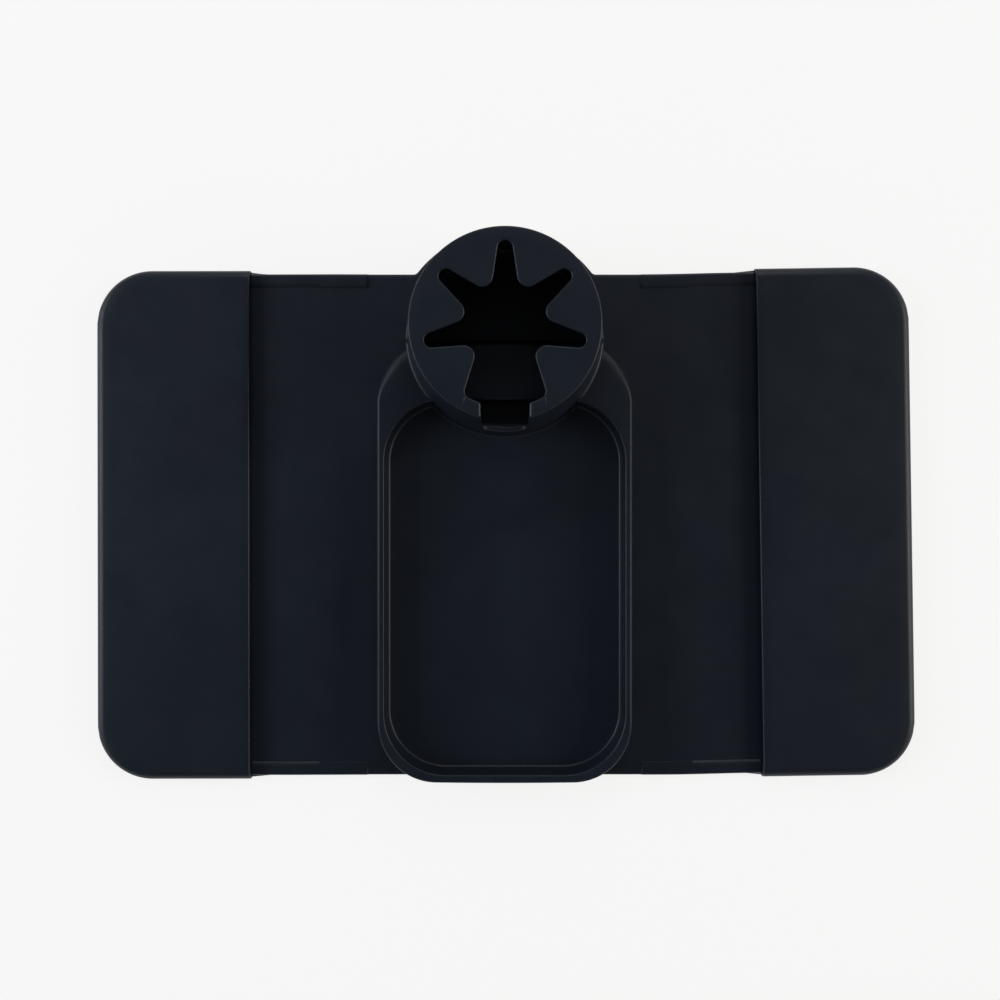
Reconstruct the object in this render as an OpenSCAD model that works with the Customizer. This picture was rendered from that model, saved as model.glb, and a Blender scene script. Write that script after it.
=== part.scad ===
// Sofa arm tray: a soft moulded mat that drapes over a couch arm.
// The middle carries a shallow tray and a cup holder, and each end folds up into a weighted pocket.
// The origin is the centre of the mat's underside, +X to the right, +Y towards the cup holder, +Z up.

/* [Mat] */
// Width of the whole mat, across both end pockets
mat_w = 420; // [390:5:520]
// Depth of the mat from front to back, without the cup holder's brim
mat_d = 259.4; // [245:0.2:320]
// Thickness of the moulded sheet
sheet_t = 2.5; // [2:0.1:3]
// Width of the raised border along the front and back edges
border_w = 7; // [4:0.5:10]
// Height of the raised border above the sheet
border_h = 0.8; // [0.4:0.1:1.2]

/* [Tray] */
// Width of the tray over its walls, at the rim
tray_w = 128.6; // [120:0.2:156]
// Height of the tray's rim above the mat's underside
tray_h = 20.5; // [14:0.5:28]
// Thickness of the tray's wall at the rim
tray_wall = 3.4; // [2.4:0.1:4.5]
// Thickness of the tray's own floor, on top of the sheet
tray_floor = 1.5; // [1:0.1:3]
// Outer corner radius of the tray
tray_corner_r = 29.5; // [20:0.5:36]
// Corner radius of the basin at the rim
basin_corner_r = 31; // [20:0.5:36]
// Depth of the basin from its front edge to its back edge
basin_d = 189.7; // [150:0.1:200]
// How far each basin wall leans in from the rim to the floor
basin_lean = 0.9; // [0.2:0.1:2]
// How far the tray's outer wall leans out from the rim to the foot
tray_lean = 0.5; // [0:0.1:1]

/* [Cup holder] */
// Distance from the mat's back edge to the cup holder's centre
cup_inset = 33.9; // [25:0.1:45]
// Outer radius of the cup holder where it meets the mat's underside
cup_base_r = 50.2; // [48.5:0.1:56]
// Outer radius of the cup holder at its top
cup_top_r = 45.8; // [44.5:0.1:48]
// Height of the cup holder with its grip ring
cup_h = 70; // [50:1:90]
// Thickness of the cup holder's wall
cup_wall = 3; // [2:0.1:3.6]
// Thickness of the cup holder's own floor, on top of the sheet
cup_floor = 3; // [2:0.1:5]
// Width of the brim that the mat leaves around the cup holder's foot
brim_w = 6.8; // [4:0.1:10]
// Radius that blends the brim into the mat's back edge
brim_fairing_r = 3; // [1:0.5:6]
// Width of the slot for a mug's handle
handle_w = 23; // [16:0.5:26]
// Height of the handle slot's sill above the mat's underside
handle_sill = 22; // [21:0.5:30]
// Radius of the corners at the handle slot's sill
handle_corner_r = 4; // [2:0.5:6]

/* [Grip ring] */
// Thickness of the grip ring and its tabs
grip_t = 2.4; // [1.8:0.1:3]
// Radius that the slots between the tabs reach out to
slot_reach_r = 39; // [38:0.1:40]
// Width of a slot at its round end
slot_w = 7; // [5:0.1:8]
// Radius of the open centre, between the noses of the tabs
grip_open_r = 19.7; // [18:0.1:22]
// Radius of a tab's nose
tab_nose_r = 5.3; // [4:0.1:5.8]
// Height of the skirt that locates the ring inside the cup holder
skirt_h = 8; // [4:0.5:14]
// Thickness of the skirt
skirt_wall = 2.2; // [1.4:0.1:2.4]
// Clearance between the skirt and the cup holder's wall
skirt_clearance = 0.35; // [0.2:0.05:0.6]

/* [Folds] */
// Clearance between two sheet edges along a fold line
fold_clearance = 0.35; // [0.3:0.05:0.6]
// Distance from the tray's wall to the flap's fold line
flap_fold_offset = 3.7; // [3.6:0.1:6]
// Distance from the pocket's mouth back to the pocket's fold line
pocket_fold_offset = 9; // [6:0.5:14]
// How far the raised borders stop short of a fold line
border_relief = 2.2; // [2:0.1:4]

/* [Pockets] */
// Length of a pocket from its mouth to the mat's end
pocket_w = 79; // [70:1:95]
// How much further than the mat a pocket reaches at the front and at the back
pocket_flare = 1.3; // [0.5:0.1:3]
// Corner radius at the mat's ends
pocket_corner_r = 28.5; // [20:0.5:34]
// Clear height inside a pocket
pocket_gap = 5; // [4.6:0.1:8]
// Thickness of the pocket's front sheet
pocket_front_t = 2; // [1.5:0.1:3]
// Width of the hem along the pocket's front and back sides
hem_side_w = 7; // [5:0.5:10]
// Width of the hem along the mat's end
hem_end_w = 14; // [13:0.5:20]
// Length of the weight strip
strip_l = 190; // [100:5:190]
// Width of the weight strip
strip_w = 10; // [6:0.5:10]
// Thickness of the weight strip
strip_t = 3.2; // [2:0.1:4]

/* [Hidden] */
$fn = 96;

// A cut reaches this far past the face that it opens
past = 1;
// Clearance between pieces that are bonded to each other along a curved wall
bond_clearance = 0.1;

mat_half_d = mat_d / 2;
end_x = mat_w / 2;
pocket_half_d = mat_half_d + pocket_flare;

// The fold lines run through the middle of the sheet
fold_z = sheet_t / 2;
fold_setback = fold_z + fold_clearance;
flap_fold_x = tray_w / 2 + flap_fold_offset;
pocket_mouth_x = end_x - pocket_w;
pocket_fold_x = pocket_mouth_x - pocket_fold_offset;
base_half_w = flap_fold_x - fold_setback;

// The tray runs from the mat's front edge to the cup holder's middle
cup_y = mat_half_d - cup_inset;
tray_front_y = -mat_half_d;
tray_back_y = cup_y - 1;
basin_half_w = tray_w / 2 - tray_wall;
basin_front_y = tray_front_y + tray_wall;
basin_back_y = basin_front_y + basin_d;
basin_floor_z = sheet_t + tray_floor;

// The cup holder's wall leans in steadily from its foot to its top
grip_z = cup_h - grip_t;
cup_lean = (cup_base_r - cup_top_r) / cup_h;
cup_floor_z = sheet_t + cup_floor;
brim_r = cup_base_r + brim_w;
skirt_r = cup_radius(grip_z) - cup_wall - skirt_clearance;

// Seven slots divide the grip ring, and the tab in front is left out for the mug's handle
slot_count = 7;
slot_step = 360 / slot_count;
slot_end_r = slot_w / 2;
slot_centre_r = slot_reach_r - slot_end_r;
tab_fold_r = slot_centre_r * cos(slot_step / 2);
tab_half_w = slot_centre_r * sin(slot_step / 2) - slot_end_r;
tab_fold_setback = grip_t / 2 + fold_clearance;
handle_angle = -90;

// The pocket is a back sheet, a hem and a front sheet, one above the other
hem_z = sheet_t;
pocket_front_z = hem_z + pocket_gap;
hem_inner_r = pocket_corner_r - hem_end_w;

silicone = [0.10, 0.12, 0.15];
silicone_light = [0.14, 0.16, 0.20];
steel = [0.55, 0.57, 0.60];

// Outer radius of the cup holder's wall at a height
function cup_radius(z) = cup_base_r - cup_lean * z;

// Place of a point given by its distance and its angle
function polar(r, a) = [r * cos(a), r * sin(a)];

// Where the tangent from point p, on the circle's +Y side, touches a circle at [c, 0]
function touch(p, c, r) =
    let (dx = p[0] - c, dy = p[1])
    let (a = atan2(dy, dx) + acos(r / norm([dx, dy])))
    [c + r * cos(a), r * sin(a)];

// A straight block with four round corners
module rounded_block(x0, x1, y0, y1, r, z0, z1) {
    translate([x0 + r, y0, z0]) cube([x1 - x0 - 2 * r, y1 - y0, z1 - z0]);
    translate([x0, y0 + r, z0]) cube([x1 - x0, y1 - y0 - 2 * r, z1 - z0]);
    for (x = [x0 + r, x1 - r], y = [y0 + r, y1 - r])
        translate([x, y, z0]) cylinder(r = r, h = z1 - z0);
}

// The same block with leaning walls: its outline at z0 is wider by lean than at z1
module leaning_block(x0, x1, y0, y1, r, z0, z1, lean) {
    h = z1 - z0;
    for (x = [x0 + r, x1 - r], y = [y0 + r, y1 - r])
        translate([x, y, z0]) cylinder(r1 = r + lean, r2 = r, h = h);
    translate([0, y1 - r, z0]) rotate([90, 0, 0]) linear_extrude(y1 - y0 - 2 * r)
        polygon([[x0 - lean, 0], [x1 + lean, 0], [x1, h], [x0, h]]);
    translate([x0 + r, 0, z0]) rotate([90, 0, 90]) linear_extrude(x1 - x0 - 2 * r)
        polygon([[y0 - lean, 0], [y1 + lean, 0], [y1, h], [y0, h]]);
}

// A block at the mat's right end: square at x0, round corners at x1
module end_block(x0, x1, half_d, r, z0, z1) {
    translate([x0, -half_d, z0]) cube([x1 - r - x0, 2 * half_d, z1 - z0]);
    translate([x0, r - half_d, z0]) cube([x1 - x0, 2 * (half_d - r), z1 - z0]);
    for (s = [-1, 1])
        translate([x1 - r, s * (half_d - r), z0]) cylinder(r = r, h = z1 - z0);
}

// The round edge of a sheet that turns about a fold line at x
module fold_edge(x) {
    translate([x, mat_half_d, fold_z]) rotate([90, 0, 0]) cylinder(d = sheet_t, h = mat_d);
}

// The raised borders along the front and back edges, from x0 to x1
module borders(x0, x1) {
    for (y = [-mat_half_d, mat_half_d - border_w])
        translate([x0, y, sheet_t]) cube([x1 - x0, border_w, border_h]);
}

// Fills the corner between the mat's back edge and the brim, on the right side
module brim_fairing() {
    f = brim_fairing_r;
    fy = mat_half_d + f;
    fx = sqrt(pow(brim_r + f, 2) - pow(fy - cup_y, 2));
    k = brim_r / (brim_r + f);
    difference() {
        linear_extrude(sheet_t) polygon([
            [fx, mat_half_d],
            [k * fx, cup_y + k * (fy - cup_y)],
            [k * fx - f, mat_half_d - f],
            [fx, mat_half_d - f]
        ]);
        translate([fx, fy, -past]) cylinder(r = f, h = sheet_t + 2 * past);
    }
}

// The sheet under the tray and the cup holder
module base_panel() {
    color(silicone) union() {
        translate([-base_half_w, -mat_half_d, 0]) cube([2 * base_half_w, mat_d, sheet_t]);
        translate([0, cup_y, 0]) cylinder(r = brim_r, h = sheet_t, $fn = 180);
        brim_fairing();
        mirror([1, 0, 0]) brim_fairing();
    }
}

// The tray: a floor, leaning walls, a level rim and the shoulders beside the cup holder
module tray_basin() {
    tray_half_w = tray_w / 2;
    color(silicone) difference() {
        leaning_block(-tray_half_w, tray_half_w, tray_front_y + tray_lean, tray_back_y,
            tray_corner_r, sheet_t, tray_h, tray_lean);
        basin_space();
        cup_space(cup_h, bond_clearance);
    }
}

// The hollow of the tray, open at the rim
module basin_space() {
    w = basin_half_w - basin_lean;
    r = basin_corner_r - basin_lean;
    slope = basin_lean / (tray_h - basin_floor_z);
    mirror([0, 0, 1]) leaning_block(-w, w, basin_front_y + basin_lean, basin_back_y - basin_lean,
        r, -tray_h - past, -basin_floor_z, basin_lean + slope * past);
}

// The outside shape of the cup holder, made larger by a clearance
module cup_space(top_z, clearance) {
    translate([0, cup_y, 0])
        cylinder(r1 = cup_base_r + clearance, r2 = cup_radius(top_z) + clearance, h = top_z, $fn = 180);
}

// The slot for a mug's handle, through the front of the wall and up past the top
module handle_slot(z0, corner_r) {
    x = handle_w / 2 - corner_r;
    y1 = cup_y - cup_base_r / 2;
    y0 = cup_y - brim_r;
    translate([-handle_w / 2, y0, z0 + corner_r]) cube([handle_w, y1 - y0, cup_h]);
    translate([-x, y0, z0]) cube([2 * x, y1 - y0, cup_h]);
    for (s = [-1, 1])
        translate([s * x, y1, z0 + corner_r]) rotate([90, 0, 0]) cylinder(r = corner_r, h = y1 - y0);
}

// The cup holder's wall and floor
module cup_well() {
    color(silicone) difference() {
        translate([0, cup_y, sheet_t])
            cylinder(r1 = cup_radius(sheet_t), r2 = cup_radius(grip_z), h = grip_z - sheet_t, $fn = 180);
        translate([0, cup_y, cup_floor_z])
            cylinder(r1 = cup_radius(cup_floor_z) - cup_wall, r2 = cup_radius(grip_z + past) - cup_wall,
                h = grip_z + past - cup_floor_z, $fn = 180);
        handle_slot(handle_sill, handle_corner_r);
    }
}

// The open middle of the grip ring, with a straight side behind each tab
module ring_opening(z0, h) {
    side_r = (tab_fold_r + tab_fold_setback) / cos(slot_step / 2);
    slot_angles = [for (i = [0:slot_count - 1]) 90 + i * slot_step];
    translate([0, cup_y, z0]) {
        linear_extrude(h) polygon([for (a = slot_angles) polar(side_r, a)]);
        for (a = slot_angles)
            translate(concat(polar(slot_centre_r, a), [0])) cylinder(r = slot_end_r, h = h);
        intersection() {
            cylinder(r = slot_reach_r, h = h, $fn = 180);
            linear_extrude(h) polygon([
                [0, 0],
                polar(cup_base_r, handle_angle - slot_step / 2),
                polar(cup_base_r * 2, handle_angle),
                polar(cup_base_r, handle_angle + slot_step / 2)
            ]);
        }
    }
}

// The ring that lifts out of the cup holder, with its locating skirt
module grip_ring() {
    color(silicone_light) difference() {
        translate([0, cup_y, 0]) {
            translate([0, 0, grip_z]) cylinder(r = cup_top_r, h = grip_t, $fn = 180);
            translate([0, 0, grip_z - skirt_h]) cylinder(r = skirt_r, h = skirt_h + past / 2, $fn = 180);
        }
        ring_opening(grip_z - past, grip_t + 2 * past);
        translate([0, cup_y, grip_z - skirt_h - past])
            cylinder(r = skirt_r - skirt_wall, h = skirt_h + past, $fn = 180);
        handle_slot(grip_z - skirt_h - past - handle_corner_r, handle_corner_r);
    }
}

// A soft tab that bends down when a mug is pushed in: a round fold edge, straight flanks, a round nose
module grip_tab(angle) {
    nose_c = grip_open_r + tab_nose_r;
    root = [tab_fold_r, tab_half_w];
    flank = touch(root, nose_c, tab_nose_r);
    color(silicone_light) translate([0, cup_y, grip_z]) rotate(angle) {
        linear_extrude(grip_t) {
            polygon([root, flank, [flank[0], -flank[1]], [root[0], -root[1]]]);
            translate([nose_c, 0]) circle(r = tab_nose_r);
        }
        translate([tab_fold_r, tab_half_w, grip_t / 2]) rotate([90, 0, 0])
            cylinder(d = grip_t, h = 2 * tab_half_w);
    }
}

// Turns a right-hand piece into its left-hand twin
module to_side(side) {
    mirror([side == "left" ? 1 : 0, 0, 0]) children();
}

// The sheet between the tray and a pocket, with its raised borders
module flap_web(side) {
    web_end_x = pocket_fold_x - fold_setback;
    color(silicone) to_side(side) union() {
        fold_edge(flap_fold_x);
        translate([flap_fold_x, -mat_half_d, 0]) cube([web_end_x - flap_fold_x, mat_d, sheet_t]);
        borders(flap_fold_x + border_relief, pocket_fold_x - border_relief);
    }
}

// The sheet behind the pocket, from the pocket's fold line to the mat's end
module pocket_back(side) {
    color(silicone) to_side(side) union() {
        fold_edge(pocket_fold_x);
        translate([pocket_fold_x, -mat_half_d, 0])
            cube([pocket_mouth_x - pocket_fold_x, mat_d, sheet_t]);
        end_block(pocket_mouth_x, end_x, pocket_half_d, pocket_corner_r, 0, sheet_t);
        borders(pocket_fold_x + border_relief, pocket_mouth_x);
    }
}

// The hem that closes the pocket on three sides, with a groove for the weight strip
module pocket_hem(side) {
    color(silicone) to_side(side) difference() {
        end_block(pocket_mouth_x, end_x, pocket_half_d, pocket_corner_r, hem_z, pocket_front_z);
        end_block(pocket_mouth_x - past, end_x - hem_end_w, pocket_half_d - hem_side_w, hem_inner_r,
            hem_z - past, pocket_front_z + past);
        strip_space(hem_z - past, past + strip_t);
    }
}

// The room that the weight strip takes in the middle of the end hem
module strip_space(z0, h) {
    translate([end_x - hem_end_w / 2 - strip_w / 2, -strip_l / 2, z0]) cube([strip_w, strip_l, h]);
}

// The front sheet of the pocket
module pocket_front(side) {
    color(silicone_light) to_side(side)
        end_block(pocket_mouth_x, end_x, pocket_half_d, pocket_corner_r,
            pocket_front_z, pocket_front_z + pocket_front_t);
}

// The steel strip that keeps a hanging flap down
module weight_strip(side) {
    color(steel) to_side(side) strip_space(hem_z, strip_t);
}

base_panel();
tray_basin();
cup_well();
grip_ring();
grip_tab(90 + slot_step / 2);  // grip_tab_back_left
grip_tab(90 - slot_step / 2);  // grip_tab_back_right
grip_tab(90 + slot_step * 3 / 2);  // grip_tab_left
grip_tab(90 - slot_step * 3 / 2);  // grip_tab_right
grip_tab(90 + slot_step * 5 / 2);  // grip_tab_front_left
grip_tab(90 - slot_step * 5 / 2);  // grip_tab_front_right
flap_web("left");  // left_flap_web
flap_web("right");  // right_flap_web
pocket_back("left");  // left_pocket_back
pocket_hem("left");  // left_pocket_hem
pocket_front("left");  // left_pocket_front
weight_strip("left");  // left_weight_strip
pocket_back("right");  // right_pocket_back
pocket_hem("right");  // right_pocket_hem
pocket_front("right");  // right_pocket_front
weight_strip("right");  // right_weight_strip
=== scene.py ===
"""The looks of a sofa arm tray: a soft black silicone moulding with a tray, a cup holder and two pockets."""

import bmesh
import bpy
import numpy as np
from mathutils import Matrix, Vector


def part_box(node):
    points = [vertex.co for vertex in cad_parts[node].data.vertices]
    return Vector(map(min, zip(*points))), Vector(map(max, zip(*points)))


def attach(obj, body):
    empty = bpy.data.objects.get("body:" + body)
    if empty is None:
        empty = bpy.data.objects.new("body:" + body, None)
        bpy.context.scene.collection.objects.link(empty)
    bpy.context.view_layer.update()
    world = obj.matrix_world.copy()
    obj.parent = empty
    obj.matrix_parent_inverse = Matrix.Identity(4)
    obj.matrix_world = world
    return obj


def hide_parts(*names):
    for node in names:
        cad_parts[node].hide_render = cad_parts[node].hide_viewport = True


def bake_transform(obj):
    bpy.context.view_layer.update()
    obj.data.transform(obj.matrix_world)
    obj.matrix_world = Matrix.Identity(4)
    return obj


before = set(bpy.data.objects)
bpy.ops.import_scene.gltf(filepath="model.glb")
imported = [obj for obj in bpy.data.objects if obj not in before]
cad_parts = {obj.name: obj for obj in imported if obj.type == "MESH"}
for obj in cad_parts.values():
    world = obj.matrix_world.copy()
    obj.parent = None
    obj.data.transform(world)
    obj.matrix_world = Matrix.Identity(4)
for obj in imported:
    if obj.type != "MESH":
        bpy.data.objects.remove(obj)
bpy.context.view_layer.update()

# The middle of the mat. A flat silicone sheet lies under the tray and the cup holder, and its back edge
# swells into a round brim at the cup holder's foot. It is moulded in one piece with all that stands on it.

MM = 0.001
base_lo, base_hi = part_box("base_panel")
cup_lo, cup_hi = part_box("cup_well")
SHEET_T = base_hi.z
MAT_HALF_D = -base_lo.y
CUP_Y = (cup_lo.y + cup_hi.y) / 2
BRIM_R = base_hi.y - CUP_Y
FAIRING_R = 3 * MM
SEAM_X = 63 * MM
TOP_EDGE_R = 1.1 * MM
UNDER_EDGE_R = 0.5 * MM
SHEET_INSETS = np.array([
    0, 0.03, 0.13, 0.3, 0.6, 1.1, 2.5, 4.5, 6.3, 6.6, 6.85, 7.1, 7.5, 9, 13, 20, 30,
]) * MM
SPAN_STEPS = 40
WELD = 0.002 * MM


def surface(name, points, sharp_deg=38):
    """A closed skin through a grid of points, sections by loop points by 3, in metres. Each section is a
    closed loop, and quads join it to the next one. Equal points are welded, and a loop that stays open at
    either end is closed with a flat face."""
    sections, count = points.shape[:2]
    first = np.arange(sections - 1)[:, None] * count
    here = np.arange(count)[None, :]
    after = (here + 1) % count
    quads = np.stack([first + here, first + after, first + count + after, first + count + here], axis=-1)
    mesh = bpy.data.meshes.new(name)
    mesh.from_pydata(points.reshape(-1, 3).tolist(), [], quads.reshape(-1, 4).tolist())
    shaped = bmesh.new()
    shaped.from_mesh(mesh)
    bmesh.ops.remove_doubles(shaped, verts=shaped.verts, dist=WELD)
    bmesh.ops.dissolve_degenerate(shaped, edges=shaped.edges, dist=WELD / 2)
    bmesh.ops.holes_fill(shaped, edges=[e for e in shaped.edges if e.is_boundary], sides=0)
    bmesh.ops.recalc_face_normals(shaped, faces=shaped.faces)
    shaped.to_mesh(mesh)
    shaped.free()
    mesh.polygons.foreach_set("use_smooth", np.ones(len(mesh.polygons), bool))
    mesh.set_sharp_from_angle(angle=np.radians(sharp_deg))
    piece = bpy.data.objects.new(name, mesh)
    bpy.context.scene.collection.objects.link(piece)
    return piece


def rounding(inset, radius):
    """How far a round edge has fallen below its face at a distance inside the edge: radius minus the
    height of a quarter circle."""
    short = np.clip(radius - inset, 0, None)
    return radius - np.sqrt(np.clip(radius**2 - short**2, 0, None))


def ease(low, high, value):
    """A smooth step from 0 at low to 1 at high: t squared times 3 minus 2t."""
    t = np.clip((value - low) / (high - low), 0, 1)
    return t * t * (3 - 2 * t)


def across_sheet(front, back, steep):
    """The y of every row of the sheet, from the front edge to the back edge, and each row's distance
    inside the nearer edge. Rows crowd towards the edges, and steep stretches them at a slanting edge."""
    near_front = front[:, None] + SHEET_INSETS
    near_back = (back[:, None] - SHEET_INSETS * steep[:, None])[:, ::-1]
    between = np.linspace(0, 1, SPAN_STEPS + 1)[None, 1:-1]
    middle = near_front[:, -1:] * (1 - between) + near_back[:, :1] * between
    inset = np.concatenate([SHEET_INSETS, np.full(SPAN_STEPS - 1, SHEET_INSETS[-1]), SHEET_INSETS[::-1]])
    return np.concatenate([near_front, middle, near_back], axis=1), inset


def brim_edge(x):
    """The y of the middle sheet's back edge and how steep it is there: the mat's straight edge, the brim's
    circle about the cup holder, and a small circle that blends them."""
    side = np.abs(x)
    fair_y = MAT_HALF_D + FAIRING_R
    fair_x = np.sqrt((BRIM_R + FAIRING_R) ** 2 - (fair_y - CUP_Y) ** 2)
    join_x = fair_x * BRIM_R / (BRIM_R + FAIRING_R)
    circle = CUP_Y + np.sqrt(np.clip(BRIM_R**2 - side**2, 0, None))
    fairing = fair_y - np.sqrt(np.clip(FAIRING_R**2 - (fair_x - side) ** 2, 0, None))
    y = np.where(side < join_x, circle, np.where(side < fair_x, fairing, MAT_HALF_D))
    slope = np.where(
        side < join_x,
        side / np.maximum(circle - CUP_Y, MM),
        np.where(side < fair_x, (fair_x - side) / np.maximum(fair_y - y, 0.1 * MM), 0),
    )
    return y, np.sqrt(1 + slope**2)


middle_x = np.unique(np.concatenate([
    np.linspace(-SEAM_X, SEAM_X, 43),
    np.linspace(40, 47, 15) * MM,
    np.linspace(-47, -40, 15) * MM,
]))
back_edge, back_steep = brim_edge(middle_x)
middle_y, middle_inset = across_sheet(np.full_like(middle_x, -MAT_HALF_D), back_edge, back_steep)
middle_top = np.broadcast_to(SHEET_T - rounding(middle_inset, TOP_EDGE_R), middle_y.shape)
middle_under = np.broadcast_to(rounding(middle_inset, UNDER_EDGE_R), middle_y.shape)
middle_grid = np.broadcast_to(middle_x[:, None], middle_y.shape)
mat_middle = surface("mat_middle", np.concatenate([
    np.stack([middle_grid, middle_y, middle_top], axis=-1),
    np.stack([middle_grid, middle_y, middle_under], axis=-1)[:, ::-1],
], axis=1))

# Moulded silicone: near black with a blue cast, dull, with a fine spark-eroded grain and faint cloudiness
# where skin oil and dust have settled.

SILICONE_DARK = (0.0034, 0.0056, 0.0108, 1)
SILICONE_LIGHT = (0.0048, 0.0076, 0.0135, 1)
DUST = (0.10, 0.105, 0.11, 1)


def silicone(name, grain=1.0, dust=0.35):
    """A dull moulded silicone. Cloudy noise drifts the colour, a finer noise drifts the roughness, one very
    fine noise makes the grain's bump, and rare small spots are dust."""
    material = bpy.data.materials.new(name)
    material.use_nodes = True
    nodes, links = material.node_tree.nodes, material.node_tree.links
    shader = nodes["Principled BSDF"]
    shader.inputs["IOR"].default_value = 1.41
    shader.inputs["Specular IOR Level"].default_value = 0.40
    place = nodes.new("ShaderNodeTexCoord").outputs["Object"]

    def noise(scale, detail, rough):
        made = nodes.new("ShaderNodeTexNoise")
        made.inputs["Scale"].default_value = scale
        made.inputs["Detail"].default_value = detail
        made.inputs["Roughness"].default_value = rough
        links.new(place, made.inputs["Vector"])
        return made.outputs["Fac"]

    def ramp(value, low, high, to_low, to_high):
        made = nodes.new("ShaderNodeMapRange")
        made.inputs["From Min"].default_value = low
        made.inputs["From Max"].default_value = high
        made.inputs["To Min"].default_value = to_low
        made.inputs["To Max"].default_value = to_high
        links.new(value, made.inputs["Value"])
        return made.outputs["Result"]

    def blend_colour(amount, first, second):
        made = nodes.new("ShaderNodeMix")
        made.data_type = "RGBA"
        for socket, value in (("Factor", amount), ("A", first), ("B", second)):
            slot = next(s for s in made.inputs if s.name == socket and s.type in ("RGBA", "VALUE")
                        and (s.type == "VALUE") == (socket == "Factor"))
            if isinstance(value, tuple):
                slot.default_value = value
            else:
                links.new(value, slot)
        return next(s for s in made.outputs if s.type == "RGBA")

    cloud = noise(18, 4, 0.55)
    specks = nodes.new("ShaderNodeTexVoronoi")
    specks.inputs["Scale"].default_value = 95
    links.new(place, specks.inputs["Vector"])
    chosen = nodes.new("ShaderNodeTexWhiteNoise")
    links.new(specks.outputs["Position"], chosen.inputs["Vector"])
    rare = ramp(chosen.outputs["Value"], 0.985, 0.99, 0, 1)
    small = ramp(specks.outputs["Distance"], 0.02, 0.05, dust, 0)
    both = nodes.new("ShaderNodeMath")
    both.operation = "MULTIPLY"
    links.new(rare, both.inputs[0])
    links.new(small, both.inputs[1])
    skin = blend_colour(ramp(cloud, 0.35, 0.65, 0, 1), SILICONE_DARK, SILICONE_LIGHT)
    links.new(blend_colour(both.outputs["Value"], skin, DUST), shader.inputs["Base Color"])
    links.new(ramp(noise(55, 5, 0.6), 0.3, 0.7, 0.40, 0.47), shader.inputs["Roughness"])
    bump = nodes.new("ShaderNodeBump")
    bump.inputs["Strength"].default_value = 0.25 * grain
    bump.inputs["Distance"].default_value = 0.03 * MM
    links.new(noise(3800, 2, 0.6), bump.inputs["Height"])
    links.new(bump.outputs["Normal"], shader.inputs["Normal"])
    return material


mat_silicone = silicone("mat_silicone")
mat_middle.data.materials.append(mat_silicone)
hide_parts("base_panel")
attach(mat_middle, "tray_base")

# The tray. A low wall with a level rim stands round a flat floor, with small fillets at its foot and inside.
# Behind the basin the rim widens into two shoulders that run up against the cup holder.

tray_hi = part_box("tray_basin")[1]
TRAY_H = tray_hi.z
TRAY_LEAN = 0.5 * MM
TRAY_HALF_W = tray_hi.x - TRAY_LEAN
TRAY_R = 29.5 * MM
SHOULDER_LONG_R = 32.5 * MM
SHOULDER_START_Y = tray_hi.y - TRAY_LEAN - TRAY_R
BASIN_WALL = 3.4 * MM
BASIN_LEAN = 0.9 * MM
BASIN_R = 31 * MM
BASIN_D = 189.7 * MM
BASIN_FLOOR_Z = 4 * MM
FOOT_R = 1.4 * MM
FOOT_SINK = 1.2 * MM
FRONT_BOW = 0.8 * MM
RIM_R = 1.1 * MM
SHOULDER_ROLL = 3.4 * MM
BASIN_RIM_R = 0.8 * MM
BASIN_FILLET_R = 1.3 * MM


def tray_outline(half_w, front, back, front_r, back_r, back_long_r):
    """A rounded rectangle as a closed loop of points with outward normals: half of it runs from the middle
    of the back, round the back corner's ellipse, down the side, round the front corner's circle and to the
    middle of the front, and the other half is its mirror image."""
    turn = np.radians(np.linspace(90, 0, 29))
    side = np.linspace(0, 1, 61)[1:-1]
    edge = np.linspace(0, 1, 19)[:-1]
    back_x, back_y = half_w - back_r, back - back_long_r
    front_x, front_y = half_w - front_r, front + front_r
    x = np.concatenate([
        back_x * edge,
        back_x + back_r * np.cos(turn),
        np.full_like(side, half_w),
        front_x + front_r * np.cos(turn)[::-1],
        front_x * (1 - edge)[1:],
        [0],
    ])
    y = np.concatenate([
        np.full_like(edge, back),
        back_y + back_long_r * np.sin(turn),
        back_y + (front_y - back_y) * side,
        front_y - front_r * np.sin(turn)[::-1],
        np.full(len(edge), front),
    ])
    normal_x = np.concatenate([
        np.zeros_like(edge), np.cos(turn), np.ones_like(side), np.cos(turn)[::-1], np.zeros(len(edge)),
    ])
    normal_y = np.concatenate([
        np.ones_like(edge), np.sin(turn), np.zeros_like(side), -np.sin(turn)[::-1], -np.ones(len(edge)),
    ])
    right = np.stack([x, y], axis=-1)
    facing = np.stack([normal_x, normal_y], axis=-1)
    flip = np.array([-1, 1])
    return (np.concatenate([right, right[-2:0:-1] * flip]),
            np.concatenate([facing, facing[-2:0:-1] * flip]))


def ring_row(loop, facing, out, height):
    """One level of a wall: the loop pushed outwards along its normals, at a height."""
    z = np.broadcast_to(height, len(loop))
    return np.column_stack([loop + facing * np.broadcast_to(out, len(loop))[:, None], z])


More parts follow.
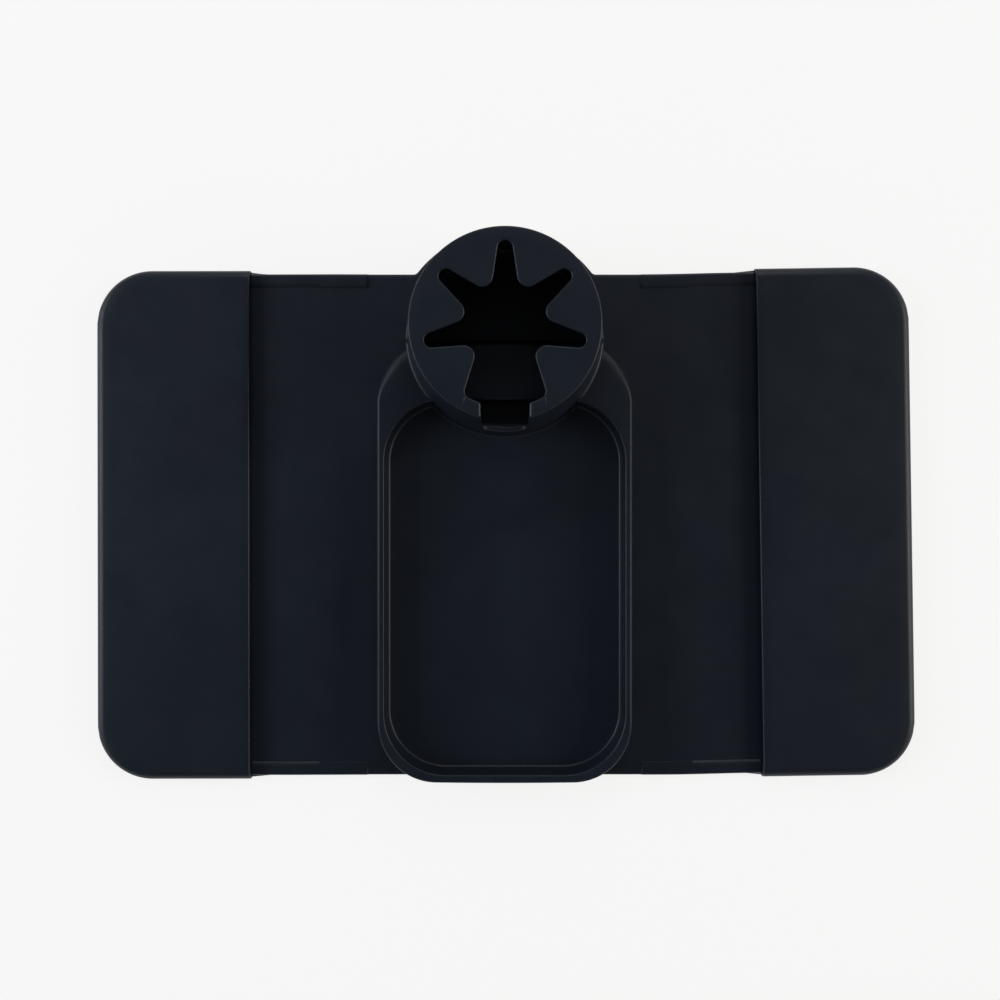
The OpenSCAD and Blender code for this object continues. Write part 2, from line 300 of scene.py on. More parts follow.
tray_loop, tray_facing = tray_outline(
    TRAY_HALF_W, -MAT_HALF_D, SHOULDER_START_Y + SHOULDER_LONG_R, TRAY_R, TRAY_R, SHOULDER_LONG_R)
basin_front = -MAT_HALF_D + BASIN_WALL
basin_loop, basin_facing = tray_outline(
    TRAY_HALF_W - BASIN_WALL, basin_front, basin_front + BASIN_D, BASIN_R, BASIN_R, BASIN_R)
frontness = ease(0.25, 0.95, -tray_facing[:, 1])
bow = frontness * FRONT_BOW * (1 - (tray_loop[:, 0] / TRAY_HALF_W) ** 2)
foot_z = SHEET_T * (1 - frontness) + UNDER_EDGE_R * frontness
foot_r = FOOT_R * (1 - frontness) + 0.02 * MM
roll = RIM_R + SHOULDER_ROLL * ease(0.05, 0.6, tray_facing[:, 1])
quarter = np.radians(np.linspace(0, 90, 7))
tray_rows = [ring_row(tray_loop, tray_facing, -FOOT_R, FOOT_SINK * (1 - frontness) + foot_z * frontness)]
tray_rows += [ring_row(tray_loop, tray_facing, TRAY_LEAN * (1 - frontness) + foot_r * (1 - np.sin(a)) + bow,
                       foot_z + foot_r * (1 - np.cos(a))) for a in quarter]
for share in np.linspace(0, 1, 6)[1:]:
    low, high = foot_z + foot_r, TRAY_H - roll
    tray_rows.append(ring_row(tray_loop, tray_facing, TRAY_LEAN * (1 - frontness) * (1 - share) + bow,
                              low + (high - low) * share))
tray_rows += [ring_row(tray_loop, tray_facing, bow - roll * (1 - np.cos(a)), TRAY_H - roll * (1 - np.sin(a)))
              for a in quarter[1:]]
rim_outer = tray_rows[-1]
rim_inner = ring_row(basin_loop, basin_facing, BASIN_RIM_R, TRAY_H)
tray_rows += [rim_outer + (rim_inner - rim_outer) * share for share in np.linspace(0, 1, 9)[1:]]
tray_rows += [ring_row(basin_loop, basin_facing, BASIN_RIM_R * (1 - np.sin(a)),
                       TRAY_H - BASIN_RIM_R * (1 - np.cos(a))) for a in quarter[1:]]
basin_wall_top, basin_wall_foot = TRAY_H - BASIN_RIM_R, BASIN_FLOOR_Z + BASIN_FILLET_R
for share in np.linspace(0, 1, 7)[1:]:
    tray_rows.append(ring_row(basin_loop, basin_facing, -BASIN_LEAN * share,
                              basin_wall_top + (basin_wall_foot - basin_wall_top) * share))
tray_rows += [ring_row(basin_loop, basin_facing, -BASIN_LEAN - BASIN_FILLET_R * (1 - np.cos(a)),
                       BASIN_FLOOR_Z + BASIN_FILLET_R * (1 - np.sin(a))) for a in quarter[1:]]
floor_edge = tray_rows[-1]
tray_rows += [floor_edge * np.array([1 - share, 1, 1]) for share in np.linspace(0, 1, 16)[1:]]
tray_rows.insert(0, tray_rows[0] * np.array([0, 1, 1]))
tray = surface("tray", np.array(tray_rows))
tray.data.materials.append(mat_silicone)
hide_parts("tray_basin")
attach(tray, "tray_base")

# The cup holder. A tall round wall leans in slightly towards its top, with a slot at the front for a mug's
# handle. Fillets join it to the tray's floor, to the shoulders and to the brim.

CUP_FOOT_R = cup_hi.y - CUP_Y
CUP_TOP_Z = cup_hi.z
GRIP_TOP_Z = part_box("grip_ring")[1].z
CUP_LEAN = 4.4 / 70
CUP_R0 = CUP_FOOT_R + CUP_LEAN * SHEET_T
CUP_WALL = 3 * MM
CUP_FLOOR_Z = 5.5 * MM
CUP_FLOOR_FILLET = 3 * MM
CUP_FILLET = 1.5 * MM
CUP_EDGE_R = 0.9 * MM
SLOT_HALF_W = 11.5 * MM
SLOT_SILL_Z = 22 * MM
SLOT_CORNER_R = 4 * MM
SLOT_TOP_R = 1.2 * MM
SHOULDER_FROM, SHOULDER_TO = np.radians(47.5), np.radians(88)
STEP_TURN = np.radians(2.5)


def cup_r(z):
    """Outer radius of the cup holder's wall at a height: it leans in by the same amount for each step up."""
    return CUP_R0 - CUP_LEAN * z


def slot_angle(across, radius):
    """The angle from the slot's middle at which a wall of that radius is that far across. Near the slot
    it is an arcsine, which keeps the slot's sides parallel, and past it the rest is shared out."""
    last = SLOT_HALF_W + SLOT_TOP_R + CUP_EDGE_R
    start = np.arcsin(last / radius)
    far = start + (across - last) / (TOP_LENGTH - last) * (np.pi - start)
    return np.where(across < last, np.arcsin(np.clip(across / radius, -1, 1)), far)


TOP_LENGTH = 140 * MM
flat_half = SLOT_HALF_W - SLOT_CORNER_R
slot_turn = np.radians(np.linspace(0, 90, 10))
side_z = np.linspace(SLOT_SILL_Z + SLOT_CORNER_R, CUP_TOP_Z - SLOT_TOP_R, 22)[1:-1]
sill_x = np.linspace(0, flat_half, 8)[:-1]
top_start = SLOT_HALF_W + SLOT_TOP_R
top_x = top_start + (TOP_LENGTH - top_start) * np.linspace(0, 1, 91)[1:] ** 1.15
edge_x = np.concatenate([
    sill_x,
    flat_half + SLOT_CORNER_R * np.sin(slot_turn),
    np.full_like(side_z, SLOT_HALF_W),
    SLOT_HALF_W + SLOT_TOP_R * (1 - np.cos(slot_turn)),
    top_x,
])
edge_z = np.concatenate([
    np.full_like(sill_x, SLOT_SILL_Z),
    SLOT_SILL_Z + SLOT_CORNER_R * (1 - np.cos(slot_turn)),
    side_z,
    CUP_TOP_Z - SLOT_TOP_R * (1 - np.sin(slot_turn)),
    np.full_like(top_x, CUP_TOP_Z),
])
into_x = np.concatenate([
    np.zeros_like(sill_x), np.sin(slot_turn), np.ones_like(side_z), np.cos(slot_turn), np.zeros_like(top_x),
])
into_z = np.concatenate([
    -np.ones_like(sill_x), -np.cos(slot_turn), np.zeros_like(side_z), -np.sin(slot_turn),
    -np.ones_like(top_x),
])
path = np.concatenate([[0], np.cumsum(np.hypot(np.diff(edge_x), np.diff(edge_z)))])
foot_angle = np.pi * path / path[-1]
ground = (BASIN_FLOOR_Z + (TRAY_H - BASIN_FLOOR_Z) * ease(-STEP_TURN, STEP_TURN, foot_angle - SHOULDER_FROM)
          - (TRAY_H - SHEET_T) * ease(-STEP_TURN, STEP_TURN, foot_angle - SHOULDER_TO))


def cup_row(angle, radius, z):
    """One row of the cup holder's skin, on both sides of the slot's middle: a point at an angle from the
    front, at a radius and a height, and its mirror image."""
    right = np.column_stack([radius * np.sin(angle), CUP_Y - radius * np.cos(angle), z])
    return np.concatenate([right, right[-2:0:-1] * np.array([-1, 1, 1])])


def cup_wall_row(share, inset, floor, depth):
    """A row part of the way from the wall's foot to its top edge. The angle and the height both run
    straight from the foot to the edge, kept inset from it, and depth is how far inside the outer face."""
    x, top = edge_x + into_x * inset, edge_z + into_z * inset
    z = floor + (top - floor) * share
    radius = cup_r(z) - depth
    angle = foot_angle + (slot_angle(x, cup_r(top) - depth) - foot_angle) * ease(0, 1, share)
    return cup_row(angle, radius, z)


def still(value):
    """A value for every point of the cup holder's edge."""
    return np.full_like(foot_angle, value)


foot_top = ground + CUP_FILLET
cup_rows = [cup_row(foot_angle, still(CUP_R0 / 2), still(FOOT_SINK)),
            cup_row(foot_angle, still(CUP_R0 - MM), still(FOOT_SINK)),
            cup_row(foot_angle, cup_r(ground) + CUP_FILLET - 0.2 * MM, ground - 0.4 * MM)]
cup_rows += [cup_row(foot_angle, cup_r(ground) + CUP_FILLET * (1 - np.sin(a)),
                     ground + CUP_FILLET * (1 - np.cos(a))) for a in quarter[:-1]]
cup_rows += [cup_wall_row(share, CUP_EDGE_R, foot_top, 0) for share in np.linspace(0, 1, 26)]
cup_rows += [cup_wall_row(1, CUP_EDGE_R * (1 - np.sin(a)), foot_top, CUP_EDGE_R * (1 - np.cos(a)))
             for a in quarter[1:]]
cup_rows += [cup_wall_row(1, CUP_EDGE_R * (1 - np.sin(a)), foot_top, CUP_WALL - CUP_EDGE_R * (1 - np.cos(a)))
             for a in quarter[::-1]]
inside_foot = still(CUP_FLOOR_Z + CUP_FLOOR_FILLET)
cup_rows += [cup_wall_row(share, CUP_EDGE_R, inside_foot, CUP_WALL) for share in np.linspace(1, 0, 20)[1:]]
inner_r = cup_r(inside_foot) - CUP_WALL
cup_rows += [cup_row(foot_angle, inner_r - CUP_FLOOR_FILLET * (1 - np.cos(a)),
                     inside_foot - CUP_FLOOR_FILLET * np.sin(a)) for a in quarter[1:]]
cup_rows += [cup_row(foot_angle, (inner_r - CUP_FLOOR_FILLET) * share, still(CUP_FLOOR_Z))
             for share in (0.75, 0.45, 0.15, 0)]
cup_rows.insert(0, cup_row(foot_angle, still(0), still(FOOT_SINK)))
cup = surface("cup_holder", np.array(cup_rows))
cup.data.materials.append(mat_silicone)
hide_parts("cup_well")
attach(cup, "tray_base")

# The flaps. The same sheet runs on from the tray on both sides, with a low raised border along its front and
# back edges. On a sofa it bends beside the tray's wall and turns down over the edge of the arm; here it is
# built lying on the table.

flap_lo, flap_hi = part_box("right_flap_web")
FLAP_FOLD_X = flap_lo.x + SHEET_T / 2
WEB_SEAM_X = 96 * MM
BORDER_W = 7 * MM
BORDER_H = flap_hi.z - SHEET_T
BORDER_STEP = 0.5 * MM
BORDER_START = FLAP_FOLD_X + 2.2 * MM
SKEW_PIVOT_X = 62 * MM
SKEW = {"left": np.radians(-0.08), "right": np.radians(0.85)}


def border(x, inset):
    """Height of the raised border: full near the edge, with a short smooth step down at its inner side."""
    across = 1 - ease(BORDER_W - BORDER_STEP, BORDER_W + BORDER_STEP / 4, inset)
    return BORDER_H * across * ease(BORDER_START, BORDER_START + 1.5 * MM, x)


def wave(x, y, side):
    """The sheet's soft waves, where it doesn't lie quite flat on the table: a few long crests that fade to
    nothing at the tray and at the pocket."""
    fade = ease(74 * MM, 90 * MM, x) * (1 - ease(108 * MM, 124 * MM, x))
    shift = 0.6 if side == "right" else 2.1
    crests = np.sin(y / (23 * MM) + shift) + 0.6 * np.sin(y / (11 * MM) + x / (14 * MM) + 2 * shift)
    return 0.13 * MM * fade * (1.6 + crests)


def lie(points, side):
    """Turns a right-hand flap slightly in the plane of the table about a point beside the tray, as the loose
    flap lies, and mirrors it for the left side."""
    x, y, z = points[..., 0], points[..., 1], points[..., 2]
    turn = SKEW[side] * ease(SKEW_PIVOT_X, 120 * MM, x)
    dx = x - SKEW_PIVOT_X
    sign = -1 if side == "left" else 1
    return np.stack([
        sign * (SKEW_PIVOT_X + dx * np.cos(turn) - y * np.sin(turn)),
        dx * np.sin(turn) + y * np.cos(turn),
        z,
    ], axis=-1)


flap_x = np.concatenate([
    np.array([SEAM_X, SEAM_X + 1.3 * MM]),
    np.arange(65.6, 72.01, 0.4) * MM,
    np.linspace(73.5 * MM, WEB_SEAM_X, 10),
])
flap_edge = np.full_like(flap_x, MAT_HALF_D)
flap_y, flap_inset = across_sheet(-flap_edge, flap_edge, np.ones_like(flap_x))
flap_grid = np.broadcast_to(flap_x[:, None], flap_y.shape)
for side in ("left", "right"):
    lift = wave(flap_grid, flap_y, side)
    over = SHEET_T - rounding(flap_inset, TOP_EDGE_R) + border(flap_grid, flap_inset[None, :]) + lift
    under = rounding(flap_inset, UNDER_EDGE_R) + lift
    flap = surface(f"{side}_flap", lie(np.concatenate([
        np.stack([flap_grid, flap_y, over], axis=-1),
        np.stack([flap_grid, flap_y, under], axis=-1)[:, ::-1],
    ], axis=1), side))
    flap.data.materials.append(mat_silicone)
    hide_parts(f"{side}_flap_web")
    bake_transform(flap)

# The pockets. At each end the moulding is doubled: a front sheet is joined to the back sheet by a thick hem
# on three sides, and its mouth faces the tray. The end hem holds a steel strip, so the flap hangs straight.

pocket_lo, pocket_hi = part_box("right_pocket_front")
hem_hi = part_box("right_pocket_hem")[1]
MOUTH_X = pocket_lo.x
END_X = pocket_hi.x
POCKET_HALF_D = pocket_hi.y
POCKET_H = pocket_hi.z
GAP_TOP_Z = hem_hi.z
POCKET_R = 28.5 * MM
HEM_SIDE_W = 7 * MM
HEM_END_W = 14 * MM
HEM_INNER_R = POCKET_R - HEM_END_W
POCKET_EDGE_R = 4.4 * MM
LIP_R = (POCKET_H - GAP_TOP_Z) / 2
END_INSETS = np.array([0, 0.03, 0.15, 0.4, 0.8, 1.3, 2, 2.8, 3.6, 4.4]) * MM


def end_outline_x(y):
    """The x of the mat's end for a y: straight in the middle, with a quarter circle at each corner."""
    beyond = np.clip(np.abs(y) - (POCKET_HALF_D - POCKET_R), 0, POCKET_R)
    return END_X - POCKET_R + np.sqrt(POCKET_R**2 - beyond**2)


def end_inset(x, y):
    """How far a point lies inside the pocket's outline: to the nearer side, or to the corner's circle."""
    along = x - (END_X - POCKET_R)
    across = np.abs(y) - (POCKET_HALF_D - POCKET_R)
    corner = np.hypot(np.clip(along, 0, None), np.clip(across, 0, None))
    inside = np.where((along > 0) & (across > 0), corner, np.maximum(along, across))
    return np.clip(POCKET_R - inside, 0, None)


hem_turn = np.radians(np.linspace(0, 90, 11))
cave_corner_x = END_X - HEM_END_W - HEM_INNER_R
cave_corner_y = POCKET_HALF_D - HEM_SIDE_W - HEM_INNER_R
hem_rows = np.array([0, 0.03, 0.15, 0.4, 0.8, 1.4, 2.1, 3, 4.4, 5.6, 7]) * MM
deepening = np.linspace(0, 1, 9)[1:]
inner_span = np.linspace(1, 0, 22)[1:]
half_y = np.concatenate([
    POCKET_HALF_D - hem_rows,
    np.full_like(deepening, POCKET_HALF_D - HEM_SIDE_W),
    cave_corner_y + HEM_INNER_R * np.cos(hem_turn[1:]),
    cave_corner_y * inner_span,
])
half_cave = np.concatenate([
    np.full_like(hem_rows, MOUTH_X),
    MOUTH_X + (cave_corner_x - MOUTH_X) * deepening,
    cave_corner_x + HEM_INNER_R * np.sin(hem_turn[1:]),
    np.full_like(inner_span, END_X - HEM_END_W),
])
station_y = np.concatenate([half_y, -half_y[-2::-1]])[:, None]
cave_x = np.concatenate([half_cave, half_cave[-2::-1]])[:, None]
out_x = end_outline_x(station_y)
web_x = np.concatenate([np.linspace(WEB_SEAM_X, 112 * MM, 8), np.linspace(114 * MM, MOUTH_X, 18)])[None, :]
sheet_x = np.concatenate([np.linspace(0, 1, 17)[:-1], [1]])[None, :]
near_end = END_INSETS[-1]
pocket_x = np.concatenate([
    MOUTH_X + LIP_R + (out_x - near_end - MOUTH_X - LIP_R) * sheet_x,
    out_x - END_INSETS[-2::-1],
], axis=1)
web_y = station_y * MAT_HALF_D / POCKET_HALF_D
web_inset = np.clip(MAT_HALF_D - np.abs(web_y), 0, None)
pocket_inset = end_inset(pocket_x, station_y)
lip_turn = np.radians(np.linspace(90, 270, 9))[1:-1][None, :]
mouth_top = POCKET_H - rounding(np.clip(POCKET_HALF_D - np.abs(station_y), 0, None), POCKET_EDGE_R)
cave_top = np.minimum(GAP_TOP_Z, mouth_top - 2 * LIP_R)
cave_share = np.linspace(0, 1, 13)[None, :]
wall_share = np.linspace(0, 1, 7)[1:-1][None, :]


def spread(values, like):
    """Values repeated to the size of another array."""
    return np.broadcast_to(values, like.shape)


def pocket_skin(side):
    """The pocket as loops that run from the web out along the underside, round the mat's end, back over the
    front sheet, round its lip, into the cave and out again, one loop for each y."""
    web_grid = spread(web_x, web_x + station_y)
    lift = wave(web_grid, web_y, side)
    underside = [
        np.stack([web_grid, spread(web_y, web_grid), rounding(web_inset, UNDER_EDGE_R) + lift], axis=-1),
        np.stack([pocket_x, spread(station_y, pocket_x), rounding(pocket_inset, UNDER_EDGE_R)], axis=-1),
    ]
    front = np.stack([
        pocket_x, spread(station_y, pocket_x), POCKET_H - rounding(pocket_inset, POCKET_EDGE_R),
    ], axis=-1)[:, ::-1]
    lip_x = MOUTH_X + LIP_R + LIP_R * np.cos(lip_turn) + 0 * station_y
    lip_z = (mouth_top + cave_top) / 2 + (mouth_top - cave_top) / 2 * np.sin(lip_turn)
    lip = np.stack([lip_x, spread(station_y, lip_x), lip_z], axis=-1)
    depth = np.maximum(cave_x - MOUTH_X - LIP_R, 0)
    lip_end = np.minimum(MOUTH_X + LIP_R, np.maximum(cave_x, MOUTH_X + 0.3 * MM))
    roof_x = lip_end + depth * cave_share
    roof = np.stack([roof_x, spread(station_y, roof_x), spread(cave_top, roof_x)], axis=-1)
    end_x = lip_end + depth + 0 * wall_share
    end_z = cave_top + (SHEET_T - cave_top) * wall_share
    cave_end = np.stack([end_x, spread(station_y, end_x), spread(end_z, end_x)], axis=-1)
    floor_x = (MOUTH_X + (lip_end + depth - MOUTH_X) * cave_share)[:, ::-1]
    floor = np.stack([floor_x, spread(station_y, floor_x), np.full_like(floor_x, SHEET_T)], axis=-1)
    top_z = SHEET_T - rounding(web_inset, TOP_EDGE_R) + border(web_grid, web_inset) + lift
    web_top = np.stack([web_grid, spread(web_y, web_grid), top_z], axis=-1)[:, ::-1]
    return lie(np.concatenate([*underside, front, lip, roof, cave_end, floor, web_top], axis=1), side)


for side in ("left", "right"):
    pocket = surface(f"{side}_pocket", pocket_skin(side))
    pocket.data.materials.append(mat_silicone)
    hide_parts(f"{side}_pocket_back", f"{side}_pocket_hem", f"{side}_pocket_front")
    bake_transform(pocket)

# The grip ring. A loose silicone disc drops into the top of the cup holder, located by a short skirt, with a
# gap in front where the handle slot goes on. Its middle is cut away for the tabs.

ring_lo, ring_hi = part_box("grip_ring")
GRIP_R = ring_hi.x
SKIRT_OUT_R = GRIP_R - 3.2 * MM
SKIRT_IN_R = SKIRT_OUT_R - 2.2 * MM
SKIRT_Z = ring_lo.z
SLOT_COUNT = 7
SLOT_STEP = 2 * np.pi / SLOT_COUNT
SLOT_REACH_R = 39 * MM
TAB_SEAM_R = 39.6 * MM
GRIP_EDGE_R = 0.8 * MM

ring_turn = np.concatenate([
    [0, 0.0015, 0.005, 0.011],
    np.linspace(0.02, 0.98, 241),
    [0.989, 0.995, 0.9985, 1],
])[:, None]
end_drop = GRIP_EDGE_R * np.array([1, 0.45, 0.13, 0])
ring_fall = np.concatenate([end_drop, np.zeros(241), end_drop[::-1]])[:, None]
front_angle = np.arcsin(SLOT_HALF_W / GRIP_R)
turned = front_angle + (2 * np.pi - 2 * front_angle) * ring_turn
from_front = np.minimum(turned, 2 * np.pi - turned)
gap_share = 1 - ease(SLOT_STEP / 2 - 0.012, SLOT_STEP / 2, from_front)
ring_in = TAB_SEAM_R - (TAB_SEAM_R - SLOT_REACH_R) * gap_share
in_edge = GRIP_EDGE_R * gap_share
edge_turn = np.radians(np.linspace(0, 90, 6))[None, :]
ring_r = np.concatenate([
    GRIP_R - GRIP_EDGE_R * (1 - np.cos(edge_turn)) + 0 * turned,
    ring_in + in_edge * (1 - np.cos(edge_turn[:, ::-1])),
    ring_in + 0 * turned,
    np.array([[SKIRT_IN_R, SKIRT_IN_R, SKIRT_OUT_R, SKIRT_OUT_R]]) + 0 * turned,
    GRIP_R + 0 * turned,
], axis=1)
ring_z = np.concatenate([
    GRIP_TOP_Z - GRIP_EDGE_R * (1 - np.sin(edge_turn)) - ring_fall,
    GRIP_TOP_Z - in_edge * (1 - np.sin(edge_turn[:, ::-1])) - ring_fall,
    CUP_TOP_Z + 0 * turned,
    np.array([[CUP_TOP_Z, SKIRT_Z, SKIRT_Z, CUP_TOP_Z]]) + 0 * turned,
    CUP_TOP_Z + 0 * turned,
], axis=1)
slot_start = np.arcsin(SLOT_HALF_W / ring_r)
ring_angle = slot_start + (2 * np.pi - 2 * slot_start) * ring_turn
grip_ring = surface("grip_ring_skin", np.stack([
    ring_r * np.sin(ring_angle), CUP_Y - ring_r * np.cos(ring_angle), ring_z,
], axis=-1))
grip_silicone = silicone("grip_silicone", grain=0.8)
grip_ring.data.materials.append(grip_silicone)
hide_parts("grip_ring")
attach(grip_ring, "grip_ring")

# The grip tabs. Soft tongues point inwards from the ring, with round slots between them. On the real holder
# they bend down together round whatever stands in it; here they are built flat. The one towards the tray is
# left out for a mug's handle.

SLOT_END_R = 3.5 * MM
SLOT_CENTRE_R = SLOT_REACH_R - SLOT_END_R
TAB_REACH_R = 19.7 * MM
NOSE_R = 5.3 * MM
TAB_FOLD_R = SLOT_CENTRE_R * np.cos(SLOT_STEP / 2)
TAB_UNDER_R = 0.4 * MM

slot_x, slot_y = TAB_FOLD_R, SLOT_CENTRE_R * np.sin(SLOT_STEP / 2)
nose_x = TAB_REACH_R + NOSE_R
span, lean_to = np.hypot(slot_x - nose_x, slot_y), np.arctan2(slot_y, slot_x - nose_x)
flank = lean_to + np.arccos((NOSE_R + SLOT_END_R) / span)
nose_turn = np.linspace(np.pi, flank, 15)
slot_arc = np.linspace(flank + np.pi, 2 * np.pi + SLOT_STEP / 2, 19)
nose = np.stack([nose_x + NOSE_R * np.cos(nose_turn), NOSE_R * np.sin(nose_turn)], axis=-1)
slot_end = np.stack([
    slot_x + SLOT_END_R * np.cos(slot_arc),
    slot_y + SLOT_END_R * np.sin(slot_arc),
], axis=-1)
straight = nose[-1] + (slot_end[0] - nose[-1]) * np.linspace(0, 1, 15)[1:-1, None]
flank_in = np.array([-np.cos(flank), -np.sin(flank)])
half_tab = np.concatenate([nose, straight, slot_end])
half_in = np.concatenate([
    np.stack([-np.cos(nose_turn), -np.sin(nose_turn)], axis=-1),
    np.broadcast_to(flank_in, straight.shape),
    np.stack([np.cos(slot_arc), np.sin(slot_arc)], axis=-1),
])
tab_path = np.concatenate([[0], np.cumsum(np.hypot(*np.diff(half_tab, axis=0).T))])
seam_angle = SLOT_STEP / 2 * tab_path / tab_path[-1]
half_seam = TAB_SEAM_R * np.stack([np.cos(seam_angle), np.sin(seam_angle)], axis=-1)


def mirrored(half):
    """A half outline that starts on the tab's middle line, with its mirror image before it."""
    return np.concatenate([half[:0:-1] * np.array([1, -1]), half])


tab_edge, tab_in, tab_seam = mirrored(half_tab), mirrored(half_in), mirrored(half_seam)
tab_share = np.linspace(0, 1, 21)


def tab_row(inset, share, z):
    """One row of a tab, along its whole outline: inset from the free edge, then part of the way to the
    seam with the ring."""
    start = tab_edge + tab_in * inset
    flat = start + (tab_seam - start) * share
    return np.column_stack([flat, np.full(len(flat), z)])


def tab_skin():
    """A tab's loops: over the top from the seam, round the free edge and back along the underside."""
    top = [tab_row(GRIP_EDGE_R, share, GRIP_TOP_Z) for share in tab_share[::-1]]
    edge = [tab_row(GRIP_EDGE_R * (1 - np.sin(a)), 0, GRIP_TOP_Z - GRIP_EDGE_R * (1 - np.cos(a)))
            for a in quarter[1:]]
    below = [tab_row(TAB_UNDER_R * (1 - np.cos(a)), 0, CUP_TOP_Z + TAB_UNDER_R * (1 - np.sin(a)))
             for a in quarter]
    under = [tab_row(TAB_UNDER_R, share, CUP_TOP_Z) for share in tab_share[1:]]
    return np.stack(top + edge + below + under, axis=1)


TAB_TURNS = {
    "back_left": 0.5, "left": 1.5, "front_left": 2.5,
    "back_right": -0.5, "right": -1.5, "front_right": -2.5,
}
for name, steps in TAB_TURNS.items():
    turn = np.pi / 2 + steps * SLOT_STEP
    along = np.array([np.cos(turn), np.sin(turn)])
    flat = tab_skin()
    placed = np.stack([
        flat[..., 0] * along[0] - flat[..., 1] * along[1],
        flat[..., 0] * along[1] + flat[..., 1] * along[0] + CUP_Y,
        flat[..., 2],
    ], axis=-1)
    tab = surface(f"grip_tab_{name}_skin", placed)
    tab.data.materials.append(grip_silicone)
    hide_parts(f"grip_tab_{name}")
    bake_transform(tab)

# The weight strips. Each is a plain bright steel flat, cut from strip and sealed into the end hem.


def strip_steel(name):
    """Rolled steel strip: long fine streaks along its length drift the roughness."""
    material = bpy.data.materials.new(name)
    material.use_nodes = True
    nodes, links = material.node_tree.nodes, material.node_tree.links
    shader = nodes["Principled BSDF"]
    shader.inputs["Metallic"].default_value = 1
    shader.inputs["Base Color"].default_value = (0.55, 0.56, 0.58, 1)
    stretch = nodes.new("ShaderNodeMapping")
    stretch.inputs["Scale"].default_value = (900, 12, 900)
    links.new(nodes.new("ShaderNodeTexCoord").outputs["Object"], stretch.inputs["Vector"])
    streaks = nodes.new("ShaderNodeTexNoise")
    streaks.inputs["Scale"].default_value = 1
    links.new(stretch.outputs["Vector"], streaks.inputs["Vector"])
    rough = nodes.new("ShaderNodeMapRange")
    rough.inputs["To Min"].default_value = 0.28
    rough.inputs["To Max"].default_value = 0.5
    links.new(streaks.outputs["Fac"], rough.inputs["Value"])
    links.new(rough.outputs["Result"], shader.inputs["Roughness"])
    return material


steel = strip_steel("strip_steel")
for side in ("left", "right"):
    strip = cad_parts[f"{side}_weight_strip"]
    strip.data.materials.clear()
    strip.data.materials.append(steel)

# The table top, the lights and the camera. The tray lies on a plain white surface and is seen from straight
# above, between two large soft lights, with a dim ceiling overhead.

FLOOR_SIZE = 8
FLOOR_SHADE = (0.80, 0.80, 0.79, 1)
PALE = (0.975, 0.975, 0.965, 1)
DIM_CEILING = (0.12, 0.13, 0.145, 1)
GLOW_SHARE = 0.86
FLOOR_Z = -0.1 * MM


def floor_material():
    """White paper. Seen directly or in a reflection it is mostly plain pale light, and part of it is a
    real white surface, so that the tray's shadow still falls on it."""
    material = bpy.data.materials.new("pale_floor")
    material.use_nodes = True
    nodes, links = material.node_tree.nodes, material.node_tree.links
    nodes.clear()
    paper = nodes.new("ShaderNodeBsdfDiffuse")
    paper.inputs["Color"].default_value = FLOOR_SHADE
    glow = nodes.new("ShaderNodeEmission")
    glow.inputs["Color"].default_value = PALE
    rays = nodes.new("ShaderNodeLightPath")
    seen = None
    for kind in ("Is Camera Ray", "Is Glossy Ray", "Is Transmission Ray"):
        if seen is None:
            seen = rays.outputs[kind]
            continue
        add = nodes.new("ShaderNodeMath")
        add.operation = "MAXIMUM"
        links.new(seen, add.inputs[0])
        links.new(rays.outputs[kind], add.inputs[1])
        seen = add.outputs["Value"]
    share = nodes.new("ShaderNodeMath")
    share.operation = "MULTIPLY"
    share.inputs[1].default_value = GLOW_SHARE
    links.new(seen, share.inputs[0])
    mix = nodes.new("ShaderNodeMixShader")
    links.new(share.outputs["Value"], mix.inputs["Fac"])
    links.new(paper.outputs["BSDF"], mix.inputs[1])
    links.new(glow.outputs["Emission"], mix.inputs[2])
    links.new(mix.outputs["Shader"], nodes.new("ShaderNodeOutputMaterial").inputs["Surface"])
    return material


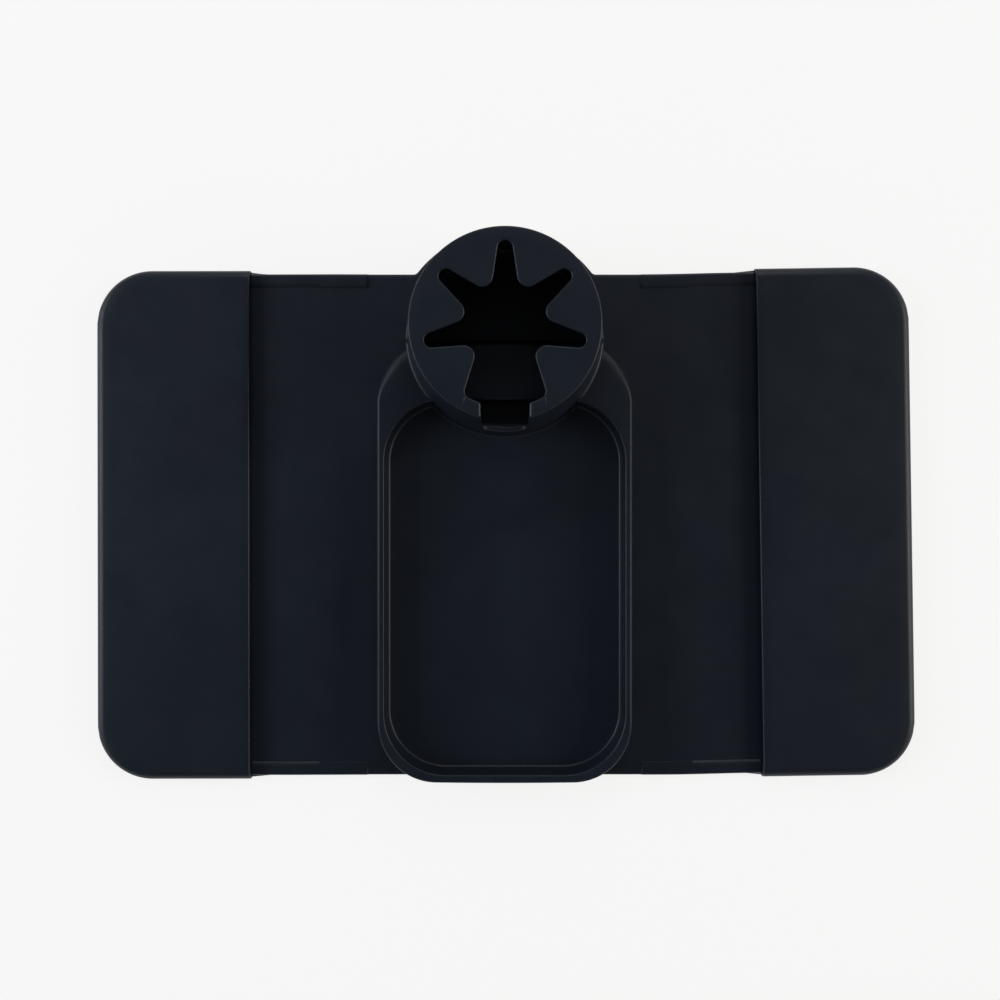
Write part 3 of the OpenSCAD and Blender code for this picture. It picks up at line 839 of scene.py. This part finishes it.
floor_mesh = bpy.data.meshes.new("floor")
reach = FLOOR_SIZE / 2
corners = [(x, y, FLOOR_Z) for x, y in ((-reach, -reach), (reach, -reach), (reach, reach), (-reach, reach))]
floor_mesh.from_pydata(corners, [], [(0, 1, 2, 3)])
floor = bpy.data.objects.new("floor", floor_mesh)
bpy.context.scene.collection.objects.link(floor)
floor.data.materials.append(floor_material())

world = bpy.data.worlds.new("room")
bpy.context.scene.world = world
world.use_nodes = True
room_nodes, room_links = world.node_tree.nodes, world.node_tree.links
room = room_nodes["Background"]
height = room_nodes.new("ShaderNodeSeparateXYZ")
room_links.new(room_nodes.new("ShaderNodeTexCoord").outputs["Generated"], height.inputs["Vector"])
shade = room_nodes.new("ShaderNodeValToRGB")
shade.color_ramp.elements[0].position = 0.10
shade.color_ramp.elements[0].color = PALE
shade.color_ramp.elements[1].position = 0.50
shade.color_ramp.elements[1].color = DIM_CEILING
room_links.new(height.outputs["Z"], shade.inputs["Fac"])
room_links.new(shade.outputs["Color"], room.inputs["Color"])

LIGHTS = {
    "left_softbox": ((-1.5, 0.15, 0.85), 1.0, 19, (0.78, 0.90, 1.0)),
    "right_softbox": ((1.55, 0.05, 0.8), 0.9, 16, (1.0, 0.98, 0.92)),
    "back_softbox": ((0.1, 1.4, 1.15), 0.9, 8, (0.95, 0.97, 1.0)),
}
for name, (place, size, power, colour) in LIGHTS.items():
    lamp = bpy.data.lights.new(name, "AREA")
    lamp.shape = "SQUARE"
    lamp.size = size
    lamp.energy = power
    lamp.color = colour
    box = bpy.data.objects.new(name, lamp)
    box.location = place
    towards = -np.array(place)
    box.rotation_euler = (np.arctan2(np.hypot(towards[0], towards[1]), -towards[2]), 0,
                          np.arctan2(towards[0], -towards[1]) + np.pi)
    bpy.context.scene.collection.objects.link(box)

CAMERA_AT = (-0.0024, 0.0127, 0.72)
SEEN_HALF_W = 0.26
camera = bpy.data.objects.new("camera", bpy.data.cameras.new("camera"))
camera.location = CAMERA_AT
camera.data.sensor_width = 36
camera.data.lens = 36 / 2 * CAMERA_AT[2] / SEEN_HALF_W
bpy.context.scene.collection.objects.link(camera)
bpy.context.scene.camera = camera
bpy.context.scene.view_settings.view_transform = "Standard"
